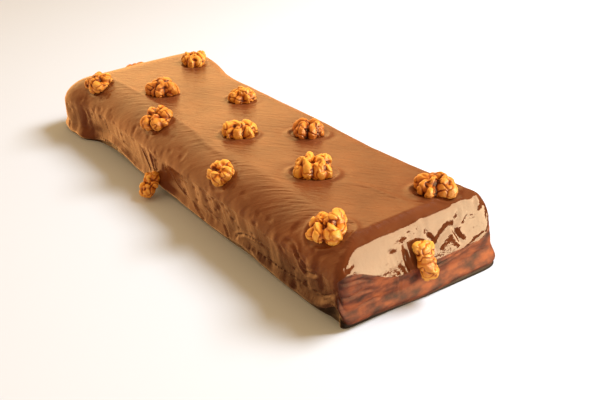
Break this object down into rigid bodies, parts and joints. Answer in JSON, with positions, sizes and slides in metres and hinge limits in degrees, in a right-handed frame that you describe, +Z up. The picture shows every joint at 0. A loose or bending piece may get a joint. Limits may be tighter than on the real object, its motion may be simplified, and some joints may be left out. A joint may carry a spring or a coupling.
{
  "type": "whole chocolate walnut bar cake",
  "caption": "Long uncut bar cake under smooth chocolate glaze, steep glossy end, wavy glaze lip above its foot, walnut halves pressed into top and sides.",
  "frame": {"origin": "middle of the footprint of the loaf and its walnuts, on the surface that the cake stands on", "axes": "+X along the cake towards its steep glossy end, -Y towards the long side whose glaze ends in a wavy lip, +Z up"},
  "size_m": [0.4445, 0.1588, 0.0686],
  "materials": {
    "glaze": "milk chocolate glaze, satin on the top and sides, mirror glossy on the steep end",
    "walnut": "shelled walnut halves, golden on their ridges and brown in their folds, slightly oily"
  },
  "bodies": {
    "root": {"cake": "glaze", "walnut_01": "walnut", "walnut_02": "walnut", "walnut_03": "walnut", "walnut_04": "walnut", "walnut_05": "walnut", "walnut_06": "walnut", "walnut_07": "walnut", "walnut_08": "walnut", "walnut_09": "walnut", "walnut_10": "walnut", "walnut_11": "walnut", "walnut_12": "walnut", "walnut_13": "walnut", "walnut_14": "walnut", "walnut_15": "walnut"}
  },
  "joints": []
}
